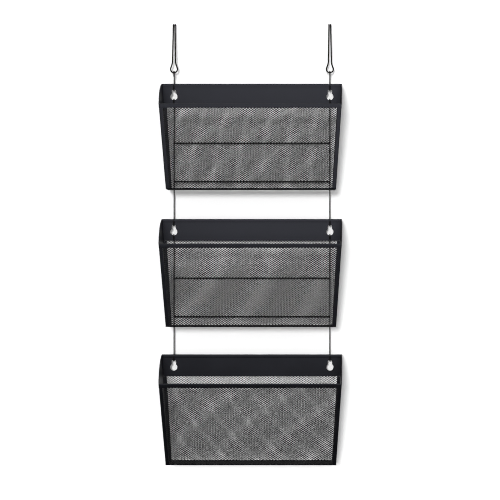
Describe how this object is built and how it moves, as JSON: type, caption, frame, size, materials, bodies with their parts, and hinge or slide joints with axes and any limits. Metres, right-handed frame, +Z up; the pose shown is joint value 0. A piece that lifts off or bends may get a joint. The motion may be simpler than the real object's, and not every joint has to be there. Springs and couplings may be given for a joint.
{
  "type": "hanging mesh letter file",
  "caption": "Mesh letter pockets hung one below another on hooked wires, from wire hangers that go over the top of a partition panel; links and pockets swing on their hooks.",
  "frame": {"origin": "on the top front edge of the panel that the hangers go over, midway between the hangers", "axes": "+Z up, +X along the panel to the right as seen from the front, +Y into the panel; the pockets stand out towards -Y"},
  "size_m": [0.36, 0.155, 0.8758],
  "materials": {
    "sheet": "satin black powder coat on sheet steel",
    "mesh": "satin black powder coat on expanded steel mesh",
    "wire": "dark oxide on steel wire, slightly glossy"
  },
  "bodies": {
    "hangers": {"hanger_left": "wire", "hanger_right": "wire"},
    "links": {"upper_link_left": "wire", "upper_link_right": "wire"},
    "upper_pocket": {"upper_header": "sheet", "upper_side_left": "sheet", "upper_side_right": "sheet", "upper_bottom": "sheet", "upper_front_rim": "sheet", "upper_front_mesh": "mesh", "upper_back_mesh": "mesh"},
    "upper_frame": {"upper_frame_wire_left": "wire", "upper_frame_wire_right": "wire", "upper_frame_cross_upper": "wire", "upper_frame_cross_lower": "wire"},
    "middle_pocket": {"middle_header": "sheet", "middle_side_left": "sheet", "middle_side_right": "sheet", "middle_bottom": "sheet", "middle_front_rim": "sheet", "middle_front_mesh": "mesh", "middle_back_mesh": "mesh"},
    "lower_frame": {"lower_frame_wire_left": "wire", "lower_frame_wire_right": "wire", "lower_frame_cross_upper": "wire", "lower_frame_cross_lower": "wire"},
    "lower_pocket": {"lower_header": "sheet", "lower_side_left": "sheet", "lower_side_right": "sheet", "lower_bottom": "sheet", "lower_front_rim": "sheet", "lower_front_mesh": "mesh", "lower_back_mesh": "mesh"}
  },
  "joints": [
    {"name": "links_swing", "type": "hinge", "parent": "hangers", "child": "links", "pos_m": [0, -0.0047, -0.0964], "axis": [-1, 0, 0], "range_deg": [0, 45]},
    {"name": "upper_pocket_tilt", "type": "hinge", "parent": "links", "child": "upper_pocket", "pos_m": [0, -0.0057, -0.131], "axis": [-1, 0, 0], "range_deg": [0, 10]},
    {"name": "upper_frame_swing", "type": "hinge", "parent": "upper_pocket", "child": "upper_frame", "pos_m": [0, -0.0057, -0.1515], "axis": [-1, 0, 0], "range_deg": [-10, 0]},
    {"name": "middle_pocket_tilt", "type": "hinge", "parent": "upper_frame", "child": "middle_pocket", "pos_m": [0, -0.0057, -0.4015], "axis": [-1, 0, 0], "range_deg": [0, 10]},
    {"name": "lower_frame_swing", "type": "hinge", "parent": "middle_pocket", "child": "lower_frame", "pos_m": [0, -0.0057, -0.422], "axis": [-1, 0, 0], "range_deg": [-10, 0]},
    {"name": "lower_pocket_tilt", "type": "hinge", "parent": "lower_frame", "child": "lower_pocket", "pos_m": [0, -0.0057, -0.672], "axis": [-1, 0, 0], "range_deg": [0, 10]}
  ],
  "couplings": [
    {"joint": "upper_frame_swing", "follows": "upper_pocket_tilt", "ratio": -1},
    {"joint": "lower_frame_swing", "follows": "middle_pocket_tilt", "ratio": -1}
  ]
}
